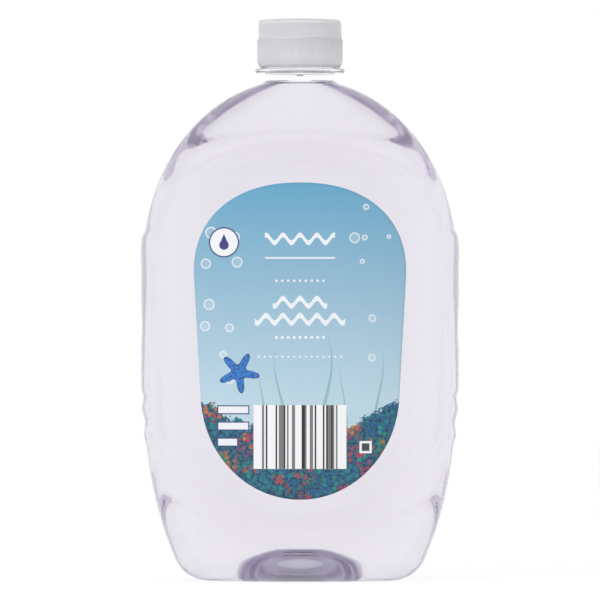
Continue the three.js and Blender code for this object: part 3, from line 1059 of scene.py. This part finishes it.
def buildCap():
    shape = capShape
    skirt = shape["bore"] + shape["wall"]
    bandTop = shape["chamfer"] + shape["bandHeight"]
    top = shape["height"]
    ceiling = top - shape["topThickness"]
    base = ringTop + shape["lift"]
    corners = [
        (shape["centreRadius"], ceiling, 0),
        (shape["bore"], ceiling, 0.5),
        (shape["bore"], 0, 0.3),
        (shape["bottomRadius"], 0, 0.3),
        (skirt + shape["bandStand"], shape["chamfer"], 0.8),
        (skirt + shape["bandStand"], bandTop, 0.15),
        (skirt, bandTop + 0.15, 0.1),
        (shape["topRadius"], top, shape["edgeRound"]),
        (shape["centreRadius"], top, 0),
    ]
    outline = softOutline(corners, spacing=shape["pointSpacing"])[::-1] + [0, base]
    columns = shape["columnsPerRib"] * shape["ribCount"]
    angles = np.arange(columns) / columns * 2 * np.pi
    rows = circleRows(angles, outline)
    height = outline[:, 1] - base
    isOuter = outline[:, 0] > skirt + shape["bandStand"] / 2
    ribStart, ribFull = shape["ribFade"]
    ends = smooth(shape["chamfer"] + ribStart, shape["chamfer"] + ribFull, height)
    ribs = (0.5 + 0.5 * np.cos(shape["ribCount"] * angles))[None, :] * (isOuter * ends)[:, None]
    isInner = np.abs(outline[:, 0] - shape["bore"]) < 0.01
    seatDrop = (neckShape["threadRoot"] + neckShape["threadCrest"]) / 2 + shape["threadSeat"]
    thread = threadHeight(angles, outline[:, 1], neckThreadBottom - seatDrop) * isInner[:, None]
    grooves = (ribs - 1) * shape["ribDepth"] * isOuter[:, None]
    rows = pushOut(rows, grooves - shape["threadStand"] * thread)
    piece = makeSkin("cap_shell", rows[::-1])
    finishPiece(piece, "cap", "screw_cap", "natural_cap", capMaterial())


linerLook = {
    "dark": (0.84, 0.84, 0.82, 1),
    "light": (0.93, 0.93, 0.91, 1),
    "roughness": 0.7,
    "foamScale": 1500,
    "foamHeight": 0.0001,
}


def linerMaterial():
    material, tree, shader = newMaterial("foam disc")
    foam = noiseNode(tree, objectPlace(tree), linerLook["foamScale"], 3)
    colour = mixColour(tree, foam, linerLook["dark"], linerLook["light"])
    tree.links.new(colour, shader.inputs["Base Color"])
    shader.inputs["Roughness"].default_value = linerLook["roughness"]
    bumpNode(tree, shader, foam, 0.3, linerLook["foamHeight"])
    return material


buildCap()
liner = nodes["cap_liner"]
liner.data.materials.clear()
liner.data.materials.append(linerMaterial())
print("cap done")


# Studio: floor, light and camera
studio = {
    "floorSize": 6,
    "floorColour": 0.86,
    "floorWhite": 1.06,  # makes up for the shading, so that the open floor is white
    "shadowShare": 0.16,  # how much of the floor's own shading the camera sees
    "cameraDistance": 3.0,
    "frameWidth": 0.268,
    "cameraHeight": 0.125,
    "sensorWidth": 36,
    "lampPlace": (-0.9, -1.2, 1.3),
    "lampTarget": (0, 0, 0.12),
    "lampSize": 0.8,
    "lampPower": 9,
    "worldStrength": 0.95,
    "overheadShade": (0.62, 0.62, 0.7, 1),
}


def seenDirectly(tree):
    # 1 for what the camera sees straight, in a reflection or through the clear plastic
    path = tree.nodes.new("ShaderNodeLightPath")
    seen = mathNode(tree, "MAXIMUM", path.outputs["Is Camera Ray"], path.outputs["Is Glossy Ray"])
    return mathNode(tree, "MAXIMUM", seen, path.outputs["Is Transmission Ray"])


def buildFloor():
    half = studio["floorSize"] / 2
    corners = [(-half, -half, 0), (half, -half, 0), (half, half, 0), (-half, half, 0)]
    mesh = bpy.data.meshes.new("floor")
    mesh.from_pydata(corners, [], [(0, 1, 2, 3)])
    floor = bpy.data.objects.new("floor", mesh)
    bpy.context.scene.collection.objects.link(floor)
    material, tree, shader = newMaterial("pale floor")
    shader.inputs["Base Color"].default_value = (studio["floorColour"],) * 3 + (1,)
    shader.inputs["Roughness"].default_value = 0.9
    white = tree.nodes.new("ShaderNodeEmission")
    white.inputs["Strength"].default_value = studio["floorWhite"]
    blend = tree.nodes.new("ShaderNodeMixShader")
    share = mathNode(tree, "MULTIPLY", seenDirectly(tree), 1 - studio["shadowShare"])
    tree.links.new(share, blend.inputs[0])
    tree.links.new(shader.outputs[0], blend.inputs[1])
    tree.links.new(white.outputs[0], blend.inputs[2])
    tree.links.new(blend.outputs[0], tree.nodes["Material Output"].inputs["Surface"])
    floor.data.materials.append(material)


def buildWorld():
    world = bpy.data.worlds.new("studio")
    world.use_nodes = True
    bpy.context.scene.world = world
    tree = world.node_tree
    background = tree.nodes["Background"]
    strength = mathNode(
        tree, "MULTIPLY_ADD", seenDirectly(tree), 1 - studio["worldStrength"], studio["worldStrength"]
    )
    tree.links.new(strength, background.inputs["Strength"])
    split = tree.nodes.new("ShaderNodeSeparateXYZ")
    tree.links.new(tree.nodes.new("ShaderNodeTexCoord").outputs["Generated"], split.inputs[0])
    overhead = rangeNode(tree, split.outputs["Z"], 0.35, 0.95)
    shade = mixColour(tree, overhead, (1, 1, 1, 1), studio["overheadShade"])
    tree.links.new(shade, background.inputs["Color"])


def buildLamp():
    light = bpy.data.lights.new("key", "AREA")
    light.size = studio["lampSize"]
    light.energy = studio["lampPower"]
    lamp = bpy.data.objects.new("key", light)
    lamp.location = studio["lampPlace"]
    aim = Vector(studio["lampTarget"]) - Vector(studio["lampPlace"])
    lamp.rotation_euler = aim.to_track_quat("-Z", "Y").to_euler()
    lamp.visible_glossy = False  # the bottle shows the white room and no lamp
    lamp.visible_transmission = False
    bpy.context.scene.collection.objects.link(lamp)


def buildCamera():
    data = bpy.data.cameras.new("camera")
    data.sensor_width = studio["sensorWidth"]
    data.lens = studio["sensorWidth"] * studio["cameraDistance"] / studio["frameWidth"]
    data.clip_end = 20
    camera = bpy.data.objects.new("camera", data)
    camera.location = (0, -studio["cameraDistance"], studio["cameraHeight"])
    camera.rotation_euler = (math.pi / 2, 0, 0)
    bpy.context.scene.collection.objects.link(camera)
    bpy.context.scene.camera = camera


buildFloor()
buildWorld()
buildLamp()
buildCamera()
bpy.context.scene.view_settings.view_transform = "Standard"
# Light crosses many clear walls before it leaves the bottle
cycles = bpy.context.scene.cycles
cycles.max_bounces = 24
cycles.glossy_bounces = 12
cycles.transmission_bounces = 24
cycles.transparent_max_bounces = 48
print("studio done")
